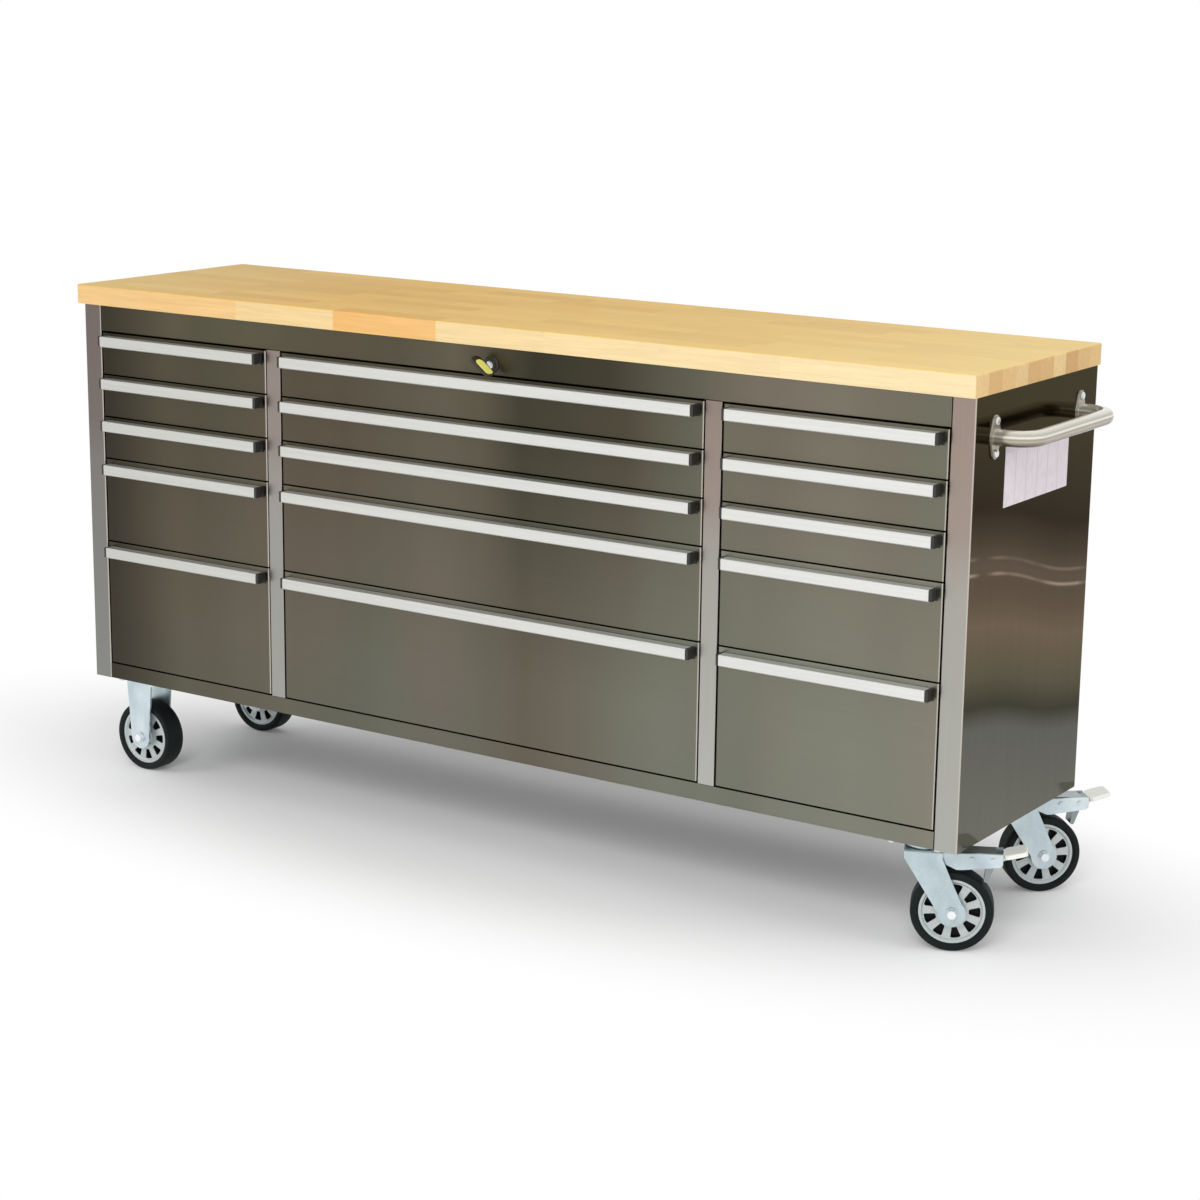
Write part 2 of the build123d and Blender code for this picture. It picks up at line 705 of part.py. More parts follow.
def swivel_plate():
    """Plate with the upper race and the kingpin, which stays with the cabinet."""
    under = CASTER_HEIGHT - CASTER_PLATE[2]
    race = Pos(0, 0, under - RACE_HEIGHT / 2) * Cylinder(RACE_RADIUS, RACE_HEIGHT)
    race = chamfer(race.faces().sort_by(Axis.Z)[0].edges(), 2.0)
    low = under - RACE_HEIGHT - RACE_GAP - FORK_SHEET - 2.0
    pin = Pos(0, 0, low) * Cylinder(
        KINGPIN_RADIUS, under - low, align=(Align.CENTER, Align.CENTER, Align.MIN)
    )
    nut = Pos(0, 0, low - 6.0) * extrude(RegularPolygon(10.0, 6), 6.0)
    return plate() + race + pin + nut


def swivel_fork():
    """Fork with the brake channel welded between its legs."""
    body = fork(CROWN_Z, TRAIL)
    body -= Pos(0, 0, CROWN_Z) * Cylinder(KINGPIN_RADIUS + KINGPIN_FIT, 4 * FORK_SHEET)
    return body + brake_channel()


def brake_channel():
    """Inverted channel that carries the brake pedal's pin beyond the tyre."""
    half = BRAKE_WIDTH / 2
    roof = CROWN_Z - FORK_SHEET
    low = 2 * WHEEL_RADIUS + BRAKE_TO_TYRE
    section = strip([(half, low), (half, roof), (-half, roof), (-half, low)], BRAKE_SHEET, 4.0)
    side_view = polygon(
        [
            (BRAKE_START, roof),
            (BRAKE_START, (low + roof) / 2),
            (TRAIL + 4.0, low),
            (TRAIL + 12.0, low),
            (BRAKE_END - 4.0, roof - BRAKE_LIP - 4.0),
            (BRAKE_END, roof - BRAKE_LIP),
            (BRAKE_END, roof),
        ]
    )
    body = prism_x(section, 0, 2 * BRAKE_END) & prism_y(side_view, -BRAKE_WIDTH, BRAKE_WIDTH)
    body -= block(
        (BRAKE_PIN_X + 4.0, 5.0 - half, roof - 2 * BRAKE_SHEET),
        (BRAKE_END + 1, half - 5.0, roof + 1),
    )
    body += Pos(BRAKE_PIN_X, 0, BRAKE_PIN_Z) * Cylinder(
        BRAKE_PIN_RADIUS, BRAKE_WIDTH - 1, rotation=(90, 0, 0)
    )
    for x in (BRAKE_RIVET_X, BRAKE_PIN_X):
        for side in (-1, 1):
            rivet = Cylinder(4.2, 3.0, rotation=(90, 0, 0))
            body += Pos(x, side * (half + 0.5), BRAKE_PIN_Z) * rivet
    return body


def brake_pedal():
    """Pedal that turns on the channel's pin: an eye, a brake nose and a pad."""
    down, back = AXLE_Z - BRAKE_PIN_Z, TRAIL - BRAKE_PIN_X
    nose_angle = atan2(down, back) + radians(BRAKE_NOSE_ANGLE)
    reach = hypot(down, back) - WHEEL_RADIUS - BRAKE_TO_TYRE
    tip = (reach * cos(nose_angle), reach * sin(nose_angle))
    eye = Circle(7.5)
    nose = make_hull((eye + Pos(*tip) * Circle(3.5)).edges())
    tilt = radians(PEDAL_TILT)
    tail = (BRAKE_ARM * cos(tilt), BRAKE_ARM * sin(tilt))
    arm = make_hull((eye + Pos(*tail) * Circle(4.0)).edges())
    lever = (nose + arm) - Circle(BRAKE_PIN_RADIUS + 0.06)
    half = BRAKE_WIDTH / 2 - 7.0
    body = prism_y(lever, -half, half)
    length, width, thick = PEDAL_PAD
    pad = prism_z(RectangleRounded(length, width, 8.0), 0, thick)
    pad = fillet(pad.faces().sort_by(Axis.Z)[-1].edges(), 2.5)
    pad_x = BRAKE_END + 2.0 - BRAKE_PIN_X + length / 2
    pad = Pos(pad_x, 0, tail[1]) * Rot(0, -PEDAL_TILT, 0) * pad
    return Pos(BRAKE_PIN_X, 0, BRAKE_PIN_Z) * (body + pad)


# ---- build ----
add("worktop", worktop())
add("side_panel_right", side_panel())
add("side_panel_left", mirrored(side_panel()))
add("back_panel", back_panel())
add("top_fascia", top_fascia())
add("bottom_rail", bottom_rail())
divider_x = CENTRE_BANK_X - DIVIDER_WIDTH / 2
add("dividers", divider(divider_x), divider(-divider_x))
add("base_pan", base_pan())

rails = []
for bank, (bank_x, bank_width) in BANKS.items():
    for row, (units, (row_low, row_high)) in enumerate(zip(ROW_UNITS, row_heights()), start=1):
        pull_top = row_high - (PULL_DROP if units == 1 else DEEP_PULL_DROP)
        fixed, moving = slide_pair(bank_x, bank_width, (row_low + row_high) / 2)
        rails += fixed
        add(f"drawer_{bank}_{row}", *drawer(bank_x, bank_width, row_low, row_high), *moving)
        add(f"pull_{bank}_{row}", *pull(bank_x, bank_width, pull_top))
add("slide_rails", *rails)

add("lock_body", lock_body())
add("lock_keys", *lock_keys())
add("push_handle", push_handle())
add("handle_bolts", *handle_bolts())
add("label_card", label_card())

caster_x = RIGHT_X - CASTER_END_INSET
caster_y = REAR_Y - CASTER_SIDE_INSET
wheel_body = rim()
tyre_body = tyre()
bolts = []
rigid = []
swivel_plates = []
for end, side, azimuth, turn in (
    ("front", -1, FRONT_CASTER_AZIMUTH, 0.0),
    ("rear", 1, REAR_CASTER_AZIMUTH, REAR_WHEEL_TURN),
):
    left_place = Pos(-caster_x, side * caster_y, 0)
    right_place = Pos(caster_x, side * caster_y, 0)
    rigid += [left_place * rigid_fork(), left_place * axle_bolt(0.0)]
    swivel_plates.append(right_place * swivel_plate())
    bolts += [place * bolt for place in (left_place, right_place) for bolt in plate_bolts()]
    trailing = right_place * Rot(0, 0, azimuth)
    add(f"swivel_fork_{end}", trailing * swivel_fork(), trailing * axle_bolt(TRAIL))
    add(f"brake_pedal_{end}", trailing * brake_pedal())
    for label, place in (("left", left_place), ("right", trailing * Pos(TRAIL, 0, 0))):
        on_axle = place * Pos(0, 0, AXLE_Z) * Rot(90, 0, 0) * Rot(0, 0, turn)
        add(f"rim_{label}_{end}", on_axle * wheel_body)
        add(f"tyre_{label}_{end}", on_axle * tyre_body)
add("rigid_forks", *rigid)
add("swivel_plates", *swivel_plates)
add("caster_bolts", *bolts)
write_pieces()
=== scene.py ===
"""Looks of the rolling tool chest: procedural materials, floor, lamps and camera.

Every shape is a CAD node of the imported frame, so nothing is modelled here but the floor.
Lengths are metres. Colours are linear, and render about as written under these lamps.
"""

import json
import math

import bmesh
import bpy
from mathutils import Matrix, Vector


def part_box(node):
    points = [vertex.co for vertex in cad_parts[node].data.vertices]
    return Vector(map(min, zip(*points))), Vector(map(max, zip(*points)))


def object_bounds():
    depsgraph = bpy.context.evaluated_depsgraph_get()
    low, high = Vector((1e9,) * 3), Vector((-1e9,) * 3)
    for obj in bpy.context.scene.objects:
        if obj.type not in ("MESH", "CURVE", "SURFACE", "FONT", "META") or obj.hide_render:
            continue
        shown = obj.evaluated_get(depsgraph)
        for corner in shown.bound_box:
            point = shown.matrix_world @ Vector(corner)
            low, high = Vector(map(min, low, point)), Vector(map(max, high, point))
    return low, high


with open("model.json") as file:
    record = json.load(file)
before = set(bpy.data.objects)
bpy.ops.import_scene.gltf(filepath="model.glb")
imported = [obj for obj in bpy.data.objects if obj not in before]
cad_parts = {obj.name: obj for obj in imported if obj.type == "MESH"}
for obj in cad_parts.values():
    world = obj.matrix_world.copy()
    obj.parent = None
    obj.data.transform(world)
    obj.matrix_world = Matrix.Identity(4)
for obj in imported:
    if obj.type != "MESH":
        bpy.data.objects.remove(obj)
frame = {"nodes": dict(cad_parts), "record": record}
cad_box = [list(corner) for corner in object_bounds()]
nodes = frame["nodes"]
scene = bpy.context.scene

BANKS = ("left", "centre", "right")
ROWS = (1, 2, 3, 4, 5)
DEEP_ROWS = (4, 5)
SIDES = ("left", "right")
ENDS = ("front", "rear")

# ---- places taken from the frame ----
left_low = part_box("side_panel_left")[0]
right_low, right_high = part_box("side_panel_right")
top_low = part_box("worktop")[0]
cabinet_middle = (left_low.x + right_high.x) / 2
front_y, rear_y = right_low.y, right_high.y
cabinet_low, cabinet_high = right_low.z, right_high.z
joints = {joint["name"]: joint for joint in frame["record"]["behaviour"]["joints"]}

# ---- sizes of details that only the looks need ----
HIGHLIGHT_FOLD_DEPTH = 0.0032  # depth of a drawer front's folded edge, back from its face, that gets a painted highlight
PAN_DEPTH = 0.0145  # a drawer's front pan, with the tray behind it
POST_SKIN = 0.0016  # the front face of a side panel's post
CAP_LENGTH = 0.00545  # the black cap on a pull's end
KEY_TURN = math.radians(38.0)  # how far the key's bow leans at rest
KEY_PAD_FACE = 0.0021  # yellow pads stand out from the bow's middle plane by more
KEY_BOW_DEPTH = 0.0262  # from the key's front end to where the bow ends
BOLT_GLINT = (0.0055, 0.0085)  # radii between which the painted glint on an axle bolt's head fades
RIM_POCKET = (0.0255, 0.0462)  # inner and outer radius of the pockets between spokes
RIM_FACE = 0.0135  # spokes stand out from the wheel's middle plane by more
PEDAL_PAD_REACH = 0.1245  # from the kingpin to where the pedal's pad begins
STAVE_WIDTH, STAVE_LENGTH = 0.0457, 0.222
STAVE_START = 0.001  # keeps the worktop's front face inside the first stave
STAVE_SEEDS = (37.6, 345.68)  # one shifts the staves, the other picks the blocks' tones

# ---- values shared by several materials ----
BRUSHED_ALONG_X = (4.0, 60.0, 900.0)  # noise scales along X, Y and Z
BRUSHED_ALONG_Z = (900.0, 60.0, 4.0)
BRUSHED_ROUGHNESS = (0.30, 0.40)
BLACK_PLASTIC = (0.020, 0.019, 0.014)
WHITE = (1.0, 1.0, 1.0)

# ---- a room's reflection painted into the sheets' colour, from the chest's left end to its right ----
PAINTED_ROOM_HIGH = (
    (0.03, (0.046, 0.039, 0.028)),
    (0.10, (0.095, 0.080, 0.056)),
    (0.34, (0.108, 0.092, 0.064)),
    (0.45, (0.139, 0.121, 0.089)),
    (0.50, (0.123, 0.106, 0.075)),
    (0.545, (0.067, 0.057, 0.040)),
    (0.66, (0.087, 0.074, 0.052)),
    (0.76, (0.176, 0.159, 0.123)),
    (1.0, (0.200, 0.182, 0.143)),
)
PAINTED_ROOM_LOW = (
    (0.03, (0.053, 0.045, 0.032)),
    (0.12, (0.123, 0.106, 0.075)),
    (0.45, (0.176, 0.159, 0.123)),
    (0.55, (0.136, 0.119, 0.086)),
    (0.72, (0.204, 0.185, 0.146)),
    (1.0, (0.253, 0.230, 0.180)),
)


# ---- camera ----
def make_camera():
    """The photograph's view: from the right, a little above, slightly rolled."""
    azimuth, elevation, roll = (math.radians(angle) for angle in (33.75, 13.26, 0.72))
    distance, lens, sensor = 4.387, 79.85, 36.0
    aim_right, aim_up = 0.244, 0.309
    target = Vector((cabinet_middle + aim_right, front_y, cabinet_low + aim_up))
    back = Vector(
        (
            math.sin(azimuth) * math.cos(elevation),
            -math.cos(azimuth) * math.cos(elevation),
            math.sin(elevation),
        )
    )
    level = Vector((math.cos(azimuth), math.sin(azimuth), 0.0))
    upright = back.cross(level)
    right = math.cos(roll) * level + math.sin(roll) * upright
    up = -math.sin(roll) * level + math.cos(roll) * upright
    data = bpy.data.cameras.new("camera")
    data.sensor_width = sensor
    data.lens = lens
    data.clip_end = 100.0
    camera = bpy.data.objects.new("camera", data)
    turn = Matrix((right, up, back)).transposed().to_4x4()
    camera.matrix_world = Matrix.Translation(target + distance * back) @ turn
    scene.collection.objects.link(camera)
    scene.camera = camera


# ---- small kit for node trees ----
class Nodes:
    """A node tree filled step by step."""

    def __init__(self, tree):
        self.tree = tree

    def feed(self, socket, value):
        """Links a socket or sets it; a colour may come without its alpha."""
        if isinstance(value, bpy.types.NodeSocket):
            self.tree.links.new(value, socket)
        elif socket.type == "RGBA" and len(value) == 3:
            socket.default_value = (*value, 1.0)
        else:
            socket.default_value = value

    def node(self, kind, *inputs, settings=None, **named):
        """A new node, with inputs in their order or by name, where _ stands for a space."""
        made = self.tree.nodes.new(kind)
        for key, value in (settings or {}).items():
            setattr(made, key, value)
        for socket, value in zip(made.inputs, inputs):
            self.feed(socket, value)
        for name, value in named.items():
            self.feed(made.inputs[name.replace("_", " ")], value)
        return made

    def math(self, operation, *values):
        return self.node("ShaderNodeMath", *values, settings={"operation": operation}).outputs[0]

    def plus(self, first, second):
        return self.math("ADD", first, second)

    def minus(self, first, second):
        return self.math("SUBTRACT", first, second)

    def times(self, first, *others):
        for other in others:
            first = self.math("MULTIPLY", first, other)
        return first

    def over(self, value, limit):
        """1 where the value is over the limit, else 0."""
        return self.math("GREATER_THAN", value, limit)

    def under(self, value, limit):
        return self.math("LESS_THAN", value, limit)

    def inverse(self, value):
        return self.math("SUBTRACT", 1.0, value)

    def vector(self, operation, *values):
        """A vector operation; gives the number where it makes one."""
        made = self.node("ShaderNodeVectorMath", *values, settings={"operation": operation})
        number = operation in ("DOT_PRODUCT", "LENGTH", "DISTANCE")
        return made.outputs["Value" if number else "Vector"]

    def span(self, value, low, high, new_low=0.0, new_high=1.0, smooth=False):
        """Maps low to high onto new_low to new_high, and holds the ends."""
        kind = {"interpolation_type": "SMOOTHSTEP" if smooth else "LINEAR"}
        made = self.node("ShaderNodeMapRange", value, low, high, new_low, new_high, settings=kind)
        return made.outputs[0]

    def mix(self, factor, first, second, blend="MIX"):
        """Mixes two colours, at the places where the Mix node keeps its colour sockets."""
        first_place, second_place, result_place = 6, 7, 2
        settings = {"data_type": "RGBA", "blend_type": blend}
        made = self.node("ShaderNodeMix", factor, settings=settings)
        self.feed(made.inputs[first_place], first)
        self.feed(made.inputs[second_place], second)
        return made.outputs[result_place]

    def ramp(self, value, *stops):
        """Colour along stops of (position, colour)."""
        made = self.node("ShaderNodeValToRGB", value)
        elements = made.color_ramp.elements
        elements[0].position, elements[-1].position = stops[0][0], stops[-1][0]
        for place, _ in stops[1:-1]:
            elements.new(place)
        for element, (_, colour) in zip(elements, stops):
            element.color = (*colour, 1.0)
        return made.outputs["Color"]

    def camera_sees(self):
        """1 for what the camera sees straight, by reflection or through glass."""
        ray = self.node("ShaderNodeLightPath").outputs
        mirrored = self.math("MAXIMUM", ray["Is Camera Ray"], ray["Is Glossy Ray"])
        return self.math("MAXIMUM", mirrored, ray["Is Transmission Ray"])


class Recipe(Nodes):
    """A Principled material painted in the frame's own coordinates at rest."""

    def __init__(self, name):
        self.material = bpy.data.materials.new(name)
        self.material.use_nodes = True
        super().__init__(self.material.node_tree)
        self.shader = self.tree.nodes["Principled BSDF"]
        spot = self.node("ShaderNodeTexCoord").outputs
        self.place = spot["Object"]
        self.x, self.y, self.z = self.node("ShaderNodeSeparateXYZ", self.place).outputs
        self.nx, self.ny, self.nz = self.node("ShaderNodeSeparateXYZ", spot["Normal"]).outputs

    def across(self):
        """How far along the cabinet a point lies, 0 at the left post and 1 at the right."""
        return self.span(self.x, left_low.x, right_high.x)

    def height(self):
        """How high on the cabinet a point lies, 0 at its foot and 1 under the worktop."""
        return self.span(self.z, cabinet_low, cabinet_high)

    def noise(self, scale, detail, vector=None, offset=(0.0, 0.0, 0.0), roughness=0.55, bend=0.0):
        """Noise with one scale for each axis, or one number for all three."""
        if isinstance(scale, float):
            scale = (scale, scale, scale)
        if vector is None:
            vector = self.place
        spot = self.node("ShaderNodeMapping", Vector=vector, Scale=scale, Location=offset)
        made = self.node(
            "ShaderNodeTexNoise",
            Vector=spot.outputs[0],
            Scale=1.0,
            Detail=detail,
            Roughness=roughness,
            Distortion=bend,
        )
        return made.outputs["Fac"]

    def swing(self, noise, low=0.0, high=1.0):
        """Stretches a noise from its usual range to the given one."""
        usual_low, usual_high = 0.3, 0.7
        return self.span(noise, usual_low, usual_high, low, high)

    def random(self, *parts):
        """One random number for each set of three numbers."""
        seed = self.node("ShaderNodeCombineXYZ", *parts).outputs[0]
        settings = {"noise_dimensions": "3D"}
        return self.node("ShaderNodeTexWhiteNoise", seed, settings=settings).outputs["Value"]

    def tinted(self, colour, tint):
        return self.mix(1.0, colour, tint, "MULTIPLY")

    def shaded(self, colour, value):
        """Multiplies a colour by a number."""
        grey = self.node("ShaderNodeCombineColor", value, value, value).outputs[0]
        return self.tinted(colour, grey)

    def bump(self, height, strength):
        made = self.node("ShaderNodeBump", Height=height, Strength=strength, Distance=0.001)
        self.feed(self.shader.inputs["Normal"], made.outputs["Normal"])

    def off_axis(self, joint):
        """Distances along and away from a joint's axis."""
        offset = self.vector("SUBTRACT", self.place, joint["pos_m"])
        along = self.vector("DOT_PRODUCT", offset, joint["axis"])
        away = self.vector("LENGTH", self.vector("CROSS_PRODUCT", offset, joint["axis"]))
        return along, away

    def set(self, **inputs):
        """Feeds the shader's inputs and gives the finished material."""
        for name, value in inputs.items():
            self.feed(self.shader.inputs[name.replace("_", " ")], value)
        return self.material


def dress(material, *names):
    """Gives CAD nodes one material."""
    for name in names:
        piece = nodes[name]
        for slot in piece.material_slots:
            slot.link = "OBJECT"
            slot.material = material
        if not piece.material_slots:
            piece.data.materials.append(material)


# ---- stainless sheet ----
def brushed_sheet(name, high, low, reflection_strips=(), behind=None):
    """Dark stainless brushed along X, with a room's reflection painted into its colour.

    The stops of high and low give that painted reflection from the left end to the right, at
    the top of the cabinet and at its foot, with painted upright bands and hues. Strips are
    lighter stretches between two heights, a painted reflection; the folded side edges of a front
    get a painted highlight; and behind colours what lies behind a front pan.
    """
    pinker, greener, cooler = (1.06, 0.98, 0.96), (0.95, 1.01, 0.95), (0.97, 1.03, 1.11)
    strip_reflection, fold_highlight = (1.30, 1.36, 1.42), (0.66, 0.62, 0.56)
    r = Recipe(name)
    # painted reflection of a room: upright bands, pink and green hues, cooler toward the foot
    bands = r.noise((5.0, 1.0, 0.7), 2.0)
    hue = r.noise((3.6, 1.0, 1.3), 1.0, offset=(4.0, 0.0, 2.0))
    fine = r.noise(BRUSHED_ALONG_X, 3.0)
    lowness = r.inverse(r.height())
    at_foot, at_top = r.ramp(r.across(), *low), r.ramp(r.across(), *high)
    base = r.mix(r.span(r.height(), 0.2, 0.8), at_foot, at_top)
    face = r.mix(r.span(hue, 0.42, 0.68), r.tinted(base, greener), r.tinted(base, pinker))
    face = r.mix(lowness, face, r.tinted(face, cooler))
    streak = r.swing(fine, 0.955, 1.045)
    face = r.shaded(face, r.times(r.swing(bands, 0.92, 1.08), streak))
    # painted reflection: lighter strips between two heights
    for strip_low, strip_high in reflection_strips:
        inside = r.times(r.over(r.z, strip_low), r.under(r.z, strip_high))
        face = r.mix(inside, face, r.tinted(face, strip_reflection))
    # painted highlight on the folded side edges of a front
    edge_highlight = r.times(r.span(r.nx, 0.2, 0.7), r.under(r.y, front_y + HIGHLIGHT_FOLD_DEPTH))
    face = r.mix(edge_highlight, face, fold_highlight)
    if behind:
        face = r.mix(r.over(r.y, front_y + PAN_DEPTH), face, r.shaded(behind, streak))
    r.bump(fine, 0.05)
    return r.set(Base_Color=face, Metallic=1.0, Roughness=r.swing(fine, *BRUSHED_ROUGHNESS))


def front_material():
    """Drawer fronts, with a painted reflection above the pulls of the deep drawers; the trays are
    plain.
    """
    tray_grey = (0.30, 0.29, 0.27)
    reflection_strips = []
    for row in DEEP_ROWS:
        reflection_strips.append((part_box(f"pull_left_{row}")[1].z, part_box(f"drawer_left_{row}")[1].z))
    return brushed_sheet("brushed_front", PAINTED_ROOM_HIGH, PAINTED_ROOM_LOW, reflection_strips, tray_grey)


def fascia_material():
    """Fascia over the drawers, with a painted room reflection that is darkest just right of the
    lock.
    """
    stops = (
        (0.03, (0.055, 0.047, 0.033)),
        (0.12, (0.115, 0.099, 0.069)),
        (0.40, (0.110, 0.094, 0.066)),
        (0.47, (0.136, 0.119, 0.086)),
        (0.56, (0.050, 0.042, 0.030)),
        (0.64, (0.063, 0.054, 0.038)),
        (0.80, (0.196, 0.178, 0.140)),
        (1.0, (0.189, 0.172, 0.135)),
    )
    return brushed_sheet("brushed_fascia", stops, stops)


def rail_material():
    """Rail under the drawers, with the painted reflection bands of their lower fronts."""
    return brushed_sheet("brushed_rail", PAINTED_ROOM_LOW, PAINTED_ROOM_LOW)


def back_material():
    """Back panel, which faces away from the room painted on the fronts; it is lighter toward the
    right.
    """
    stops = ((0.0, (0.120, 0.106, 0.080)), (1.0, (0.170, 0.152, 0.122)))
    return brushed_sheet("brushed_back", stops, stops)


def post_colour(recipe):
    """Lighter stainless of the uprights, with painted reflection and light: greyer to the floor,
    brighter to the right.
    """
    left = recipe.ramp(
        recipe.height(),
        (0.0, (0.262, 0.268, 0.252)),
        (0.58, (0.232, 0.220, 0.205)),
        (0.70, (0.205, 0.176, 0.162)),
        (1.0, (0.190, 0.158, 0.146)),
    )
    right = recipe.ramp(
        recipe.height(),
        (0.0, (0.440, 0.446, 0.410)),
        (0.58, (0.425, 0.410, 0.368)),
        (0.70, (0.390, 0.320, 0.278)),
        (1.0, (0.362, 0.282, 0.242)),
    )
    return recipe.mix(recipe.across(), left, right)


def divider_material():
    """Uprights between the banks, brushed along Z, a little brighter than the posts, with painted
    reflection and a painted highlight on their side faces.
    """
    # painted reflection: brightness changing with height, and along the chest
    foot_level, left_gain, right_gain = 1.22, 0.14, -0.27
    r = Recipe("brushed_post")
    fine = r.noise(BRUSHED_ALONG_Z, 3.0)
    gain_to_top = r.span(r.across(), 0.24, 0.74, left_gain, right_gain)
    level = r.plus(foot_level, r.times(r.height(), gain_to_top))
    face = r.shaded(post_colour(r), r.times(r.swing(fine, 0.95, 1.05), level))
    # painted highlight on the side faces
    edge_highlight = r.span(r.math("ABSOLUTE", r.nx), 0.3, 0.9)
    r.bump(fine, 0.05)
    return r.set(
        Base_Color=r.mix(edge_highlight, face, (0.46, 0.42, 0.38)),
        Metallic=1.0,
        Roughness=r.swing(fine, *BRUSHED_ROUGHNESS),
    )


def side_skin(r):
    """Colour of the polished skin: a room's reflection painted in bands that tilt, bow and
    wobble, with painted highlight lines.
    """
    tilt, bow, bow_swing, wobble = 0.13, 0.010, 6.0, 0.02
    highlight_lines, line_width = ((0.625, 0.8), (0.66, 0.3)), 0.006
    deep = r.span(r.y, front_y, rear_y)
    wave = r.noise((1.0, 2.2, 0.6), 1.0)
    ripple = r.noise((1.0, 9.0, 3.0), 1.0)
    bowed = r.times(r.math("SINE", r.times(deep, bow_swing)), bow)
    bent = r.plus(r.height(), r.times(deep, tilt))
    bent = r.minus(r.plus(bent, r.span(wave, 0.0, 1.0, -wobble, wobble)), bowed)
    skin = r.ramp(
        bent,
        (0.0, (0.176, 0.177, 0.150)),
        (0.28, (0.130, 0.132, 0.116)),
        (0.33, (0.050, 0.050, 0.031)),
        (0.40, (0.112, 0.100, 0.064)),
        (0.51, (0.172, 0.125, 0.083)),
        (0.57, (0.126, 0.092, 0.062)),
        (0.61, (0.112, 0.082, 0.057)),
        (0.64, (0.122, 0.092, 0.064)),
        (0.70, (0.070, 0.051, 0.033)),
        (0.77, (0.030, 0.021, 0.012)),
        (1.0, (0.054, 0.045, 0.023)),
    )
    # painted highlight lines along the bands
    for line, strength in highlight_lines:
        off_line = r.math("ABSOLUTE", r.minus(bent, line))
        fading = r.span(off_line, 0.0, line_width, strength, 0.0)
        glint = r.times(fading, r.span(ripple, 0.3, 0.55))
        skin = r.mix(glint, skin, (0.46, 0.36, 0.28))
    return skin


def side_material():
    """Side panels: polished skin with a painted room reflection, and a brushed post with a
    painted highlight on the bend at its front.
    """
    r = Recipe("side_skin")
    fine = r.noise(BRUSHED_ALONG_Z, 3.0)
    # painted highlight on the post's rounded bend
    bend = r.times(r.span(r.nx, 0.15, 0.4), r.span(r.nx, 0.7, 0.95, 1.0, 0.0))
    post = r.mix(bend, post_colour(r), (0.62, 0.56, 0.50))
    on_post = r.under(r.y, front_y + POST_SKIN)
    colour = r.mix(on_post, side_skin(r), post)
    return r.set(
        Base_Color=r.shaded(colour, r.swing(fine, 0.97, 1.03)),
        Metallic=1.0,
        Roughness=r.plus(0.09, r.times(on_post, 0.25)),
        Specular_Tint=(0.57, 0.56, 0.55),
    )


# ---- other metals ----
def plain_metal(name, colour, roughness):
    """Plated or cast metal with a fine uneven surface."""
    darkest, uneven = 0.86, 0.05
    r = Recipe(name)
    cloud = r.noise(400.0, 3.0)
    broad = r.noise(9.0, 2.0)
    dark = tuple(darkest * part for part in colour)
    r.bump(cloud, 0.04)
    return r.set(
        Base_Color=r.mix(r.swing(broad), dark, colour),
        Metallic=1.0,
        Roughness=r.swing(cloud, roughness - uneven, roughness + uneven),
    )


def zinc_material():
    """Zinc-plated pressings with a faint spangle, painted shade on faces that look up, and a
    painted glint on the heads of the axle bolts.
    """
    r = Recipe("zinc")
    cloud = r.noise((22.0, 22.0, 12.0), 2.0)
    fine = r.noise(300.0, 3.0)
    colour = r.ramp(
        r.swing(cloud),
        (0.0, (0.47, 0.57, 0.60)),
        (0.5, (0.57, 0.67, 0.71)),
        (1.0, (0.72, 0.80, 0.84)),
    )
    # painted shade on faces that look up
    colour = r.mix(r.span(r.nz, 0.5, 0.9), colour, (0.34, 0.38, 0.37))
    # painted glint round each axle
    for side in SIDES:
        for end in ENDS:
            _, away = r.off_axis(joints[f"wheel_turn_{side}_{end}"])
            colour = r.mix(r.span(away, *BOLT_GLINT, 1.0, 0.0), colour, (0.94, 0.97, 1.0))
    r.bump(fine, 0.04)
    return r.set(
        Base_Color=r.shaded(colour, r.swing(fine, 0.95, 1.04)),
        Metallic=0.85,
        Roughness=r.swing(cloud, 0.36, 0.28),
    )


def pull_material(bank, row):
    """Satin aluminium channel, with painted light that makes it brighter to the right, and black
    plastic end caps.
    """
    low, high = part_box(f"pull_{bank}_{row}")
    r = Recipe(f"pull_{bank}_{row}")
    fine = r.noise((4.0, 900.0, 900.0), 3.0)
    off_middle = r.math("ABSOLUTE", r.minus(r.x, (low.x + high.x) / 2))
    cap = r.over(off_middle, (high.x - low.x) / 2 - CAP_LENGTH)
    # painted light: brighter to the right
    bright = r.ramp(
        r.across(),
        (0.0, (0.57, 0.57, 0.54)),
        (0.5, (0.68, 0.68, 0.65)),
        (1.0, (0.76, 0.76, 0.74)),
    )
    satin = r.shaded(bright, r.swing(fine, 0.93, 1.04))
    r.bump(fine, 0.03)
    return r.set(
        Base_Color=r.mix(cap, satin, (0.022, 0.022, 0.020)),
        Metallic=r.times(r.inverse(cap), 0.6),
        Roughness=r.plus(0.36, r.times(cap, 0.10)),
    )


def tube_material():
    """Satin tube with painted light and dark reflection streaks of a bright room along it."""
    r = Recipe("handle_tube")
    fine = r.noise((300.0, 12.0, 300.0), 2.0)
    # painted reflection streaks, by which way the surface faces
    streaks = r.ramp(
        r.span(r.nz, -1.0, 1.0),
        (0.0, (0.14, 0.12, 0.09)),
        (0.22, (0.22, 0.19, 0.14)),
        (0.40, (0.50, 0.45, 0.36)),
        (0.52, (0.34, 0.31, 0.24)),
        (0.63, (0.86, 0.85, 0.80)),
        (0.74, (0.46, 0.43, 0.35)),
        (0.86, (0.60, 0.58, 0.50)),
        (1.0, (0.82, 0.80, 0.72)),
    )
    r.bump(fine, 0.03)
    return r.set(
        Base_Color=r.shaded(streaks, r.swing(fine, 0.95, 1.05)),
        Metallic=0.6,
        Roughness=r.swing(fine, 0.18, 0.26),
    )


